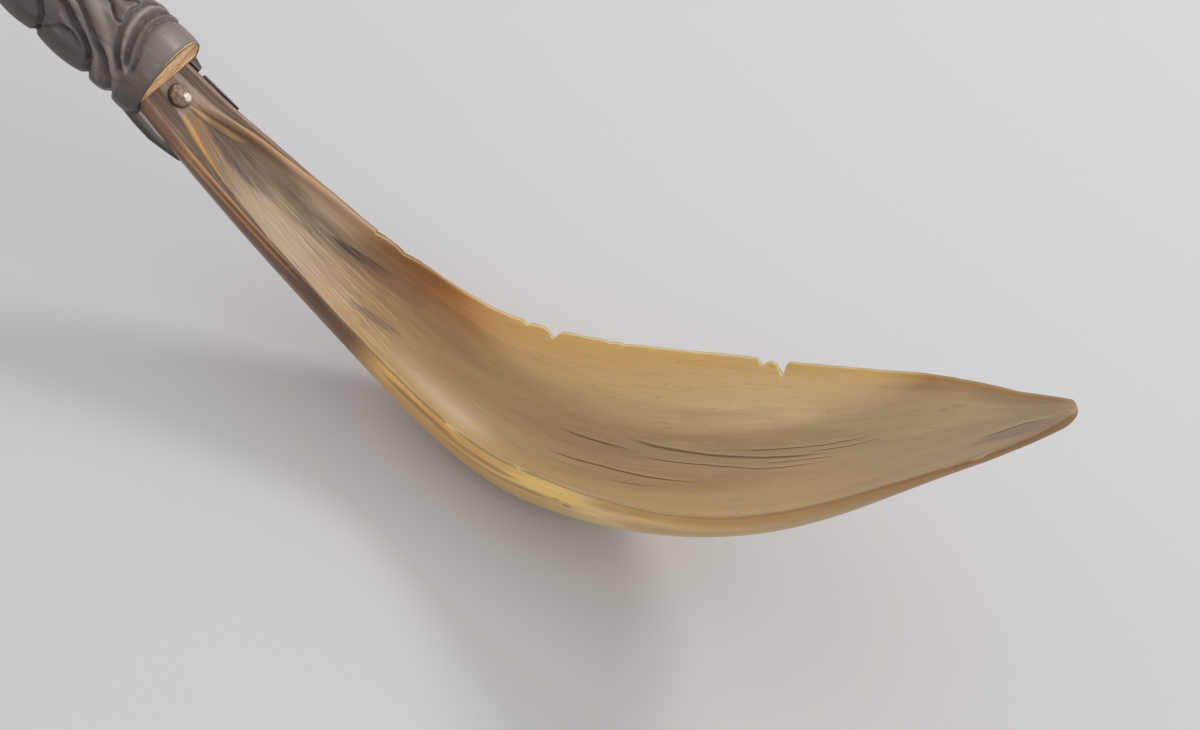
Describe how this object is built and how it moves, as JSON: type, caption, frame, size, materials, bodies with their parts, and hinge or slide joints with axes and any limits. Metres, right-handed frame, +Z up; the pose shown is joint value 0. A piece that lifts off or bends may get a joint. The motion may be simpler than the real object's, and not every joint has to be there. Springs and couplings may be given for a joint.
{
  "type": "two-piece carved horn spoon",
  "caption": "Carved two-piece horn spoon: long pointed amber bowl with a troughed neck, riveted into the split end of an arched dark goat horn handle.",
  "frame": {"origin": "middle of the flat worn under the bowl, on the surface the spoon stands on", "axes": "+X from the handle to the bowl's point, +Y to the left side seen from the handle, +Z up"},
  "size_m": [0.2864, 0.0418, 0.0805],
  "materials": {
    "amber horn": "scraped and polished horn, translucent at thin edges",
    "dark horn": "carved and worn horn, satin",
    "pale wood": "rough end grain",
    "copper": "dull, hammered and darkened copper"
  },
  "bodies": {
    "root": {"bowl": "amber horn", "handle": "dark horn", "wood_packing": "pale wood", "rivet": "copper"}
  },
  "joints": []
}
